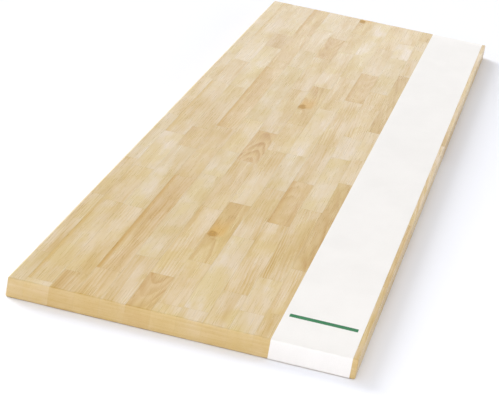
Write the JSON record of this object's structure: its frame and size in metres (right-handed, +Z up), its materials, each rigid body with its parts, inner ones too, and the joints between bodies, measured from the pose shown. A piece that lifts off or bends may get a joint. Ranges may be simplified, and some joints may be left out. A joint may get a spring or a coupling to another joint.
{
  "type": "butcher block countertop",
  "caption": "Rectangular butcher block countertop board of edge-glued, finger-jointed hardwood staves, with eased edges and a plain paper label band along its front edge.",
  "frame": {"origin": "middle of the underside, where the board rests", "axes": "+X along the board's length, from the near end to the far end of the picture; +Y across it, towards the back edge without the label; +Z up, out of the top face"},
  "size_m": [2.4898, 0.635, 0.0384],
  "materials": {
    "hardwood": "sanded hardwood with a thin clear coat",
    "label_paper": "smooth white coated paper"
  },
  "bodies": {
    "root": {"lamella_01": "hardwood", "lamella_02": "hardwood", "lamella_03": "hardwood", "lamella_04": "hardwood", "lamella_05": "hardwood", "lamella_06": "hardwood", "lamella_07": "hardwood", "lamella_08": "hardwood", "lamella_09": "hardwood", "lamella_10": "hardwood", "lamella_11": "hardwood", "lamella_12": "hardwood", "lamella_13": "hardwood", "lamella_14": "hardwood", "label_band": "label_paper"}
  },
  "joints": []
}
